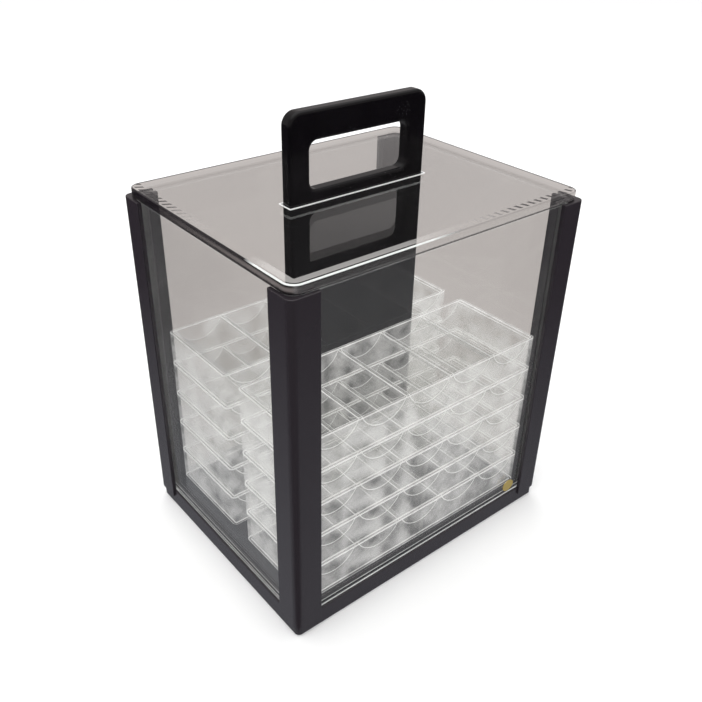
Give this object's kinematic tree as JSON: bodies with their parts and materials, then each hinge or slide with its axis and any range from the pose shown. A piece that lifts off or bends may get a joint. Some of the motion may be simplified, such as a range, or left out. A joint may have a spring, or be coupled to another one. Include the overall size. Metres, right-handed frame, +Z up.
{
  "type": "poker chip case",
  "caption": "Clear upright carrying case for casino chips, with black base, corner posts and carrying handle, a lift-off lid, two sliding doors and stacked clear chip racks.",
  "frame": {"origin": "middle of the footprint, at the height of the surface that the rubber feet stand on", "axes": "+Z up along the tall side, +X to the case's right along the handle, +Y to the rear"},
  "size_m": [0.24, 0.188, 0.319],
  "materials": {
    "black_plastic": "glossy moulded black plastic",
    "clear_panel": "polished clear acrylic sheet",
    "clear_lid": "polished clear acrylic moulding",
    "clear_rack": "clear injection-moulded plastic",
    "steel_screw": "zinc-plated socket-head screws",
    "rubber_foot": "matt black rubber",
    "gold_foil": "plain gold foil sticker"
  },
  "bodies": {
    "case": {"base_tray": "black_plastic", "corner_post_front_left": "black_plastic", "corner_post_front_right": "black_plastic", "corner_post_rear_left": "black_plastic", "corner_post_rear_right": "black_plastic", "left_panel": "clear_panel", "right_panel": "clear_panel", "handle_divider": "black_plastic", "post_screws": "steel_screw", "divider_screws": "steel_screw", "rubber_feet": "rubber_foot"},
    "lid": {"lid": "clear_lid"},
    "front_door": {"front_door": "clear_panel", "gold_seal": "gold_foil"},
    "rear_door": {"rear_door": "clear_panel"},
    "rack_front_1": {"rack_front_1": "clear_rack"},
    "rack_front_2": {"rack_front_2": "clear_rack"},
    "rack_front_3": {"rack_front_3": "clear_rack"},
    "rack_front_4": {"rack_front_4": "clear_rack"},
    "rack_front_5": {"rack_front_5": "clear_rack"},
    "rack_rear_1": {"rack_rear_1": "clear_rack"},
    "rack_rear_2": {"rack_rear_2": "clear_rack"},
    "rack_rear_3": {"rack_rear_3": "clear_rack"},
    "rack_rear_4": {"rack_rear_4": "clear_rack"},
    "rack_rear_5": {"rack_rear_5": "clear_rack"}
  },
  "joints": [
    {"name": "lid_lift", "type": "slide", "parent": "case", "child": "lid", "axis": [0, 0, 1], "range_m": [0, 0.24]},
    {"name": "front_door_lift", "type": "slide", "parent": "case", "child": "front_door", "axis": [0, 0, 1], "range_m": [0, 0.24]},
    {"name": "rear_door_lift", "type": "slide", "parent": "case", "child": "rear_door", "axis": [0, 0, 1], "range_m": [0, 0.24]},
    {"name": "rack_front_1_lift", "type": "slide", "parent": "case", "child": "rack_front_1", "axis": [0, 0, 1], "range_m": [0, 0.0144]},
    {"name": "rack_front_2_lift", "type": "slide", "parent": "rack_front_1", "child": "rack_front_2", "axis": [0, 0, 1], "range_m": [0, 0.0144]},
    {"name": "rack_front_3_lift", "type": "slide", "parent": "rack_front_2", "child": "rack_front_3", "axis": [0, 0, 1], "range_m": [0, 0.0144]},
    {"name": "rack_front_4_lift", "type": "slide", "parent": "rack_front_3", "child": "rack_front_4", "axis": [0, 0, 1], "range_m": [0, 0.0144]},
    {"name": "rack_front_5_lift", "type": "slide", "parent": "rack_front_4", "child": "rack_front_5", "axis": [0, 0, 1], "range_m": [0, 0.0144]},
    {"name": "rack_rear_1_lift", "type": "slide", "parent": "case", "child": "rack_rear_1", "axis": [0, 0, 1], "range_m": [0, 0.0144]},
    {"name": "rack_rear_2_lift", "type": "slide", "parent": "rack_rear_1", "child": "rack_rear_2", "axis": [0, 0, 1], "range_m": [0, 0.0144]},
    {"name": "rack_rear_3_lift", "type": "slide", "parent": "rack_rear_2", "child": "rack_rear_3", "axis": [0, 0, 1], "range_m": [0, 0.0144]},
    {"name": "rack_rear_4_lift", "type": "slide", "parent": "rack_rear_3", "child": "rack_rear_4", "axis": [0, 0, 1], "range_m": [0, 0.0144]},
    {"name": "rack_rear_5_lift", "type": "slide", "parent": "rack_rear_4", "child": "rack_rear_5", "axis": [0, 0, 1], "range_m": [0, 0.0144]}
  ],
  "couplings": [
    {"joint": "front_door_lift", "follows": "lid_lift", "ratio": 1},
    {"joint": "rear_door_lift", "follows": "lid_lift", "ratio": 1}
  ]
}
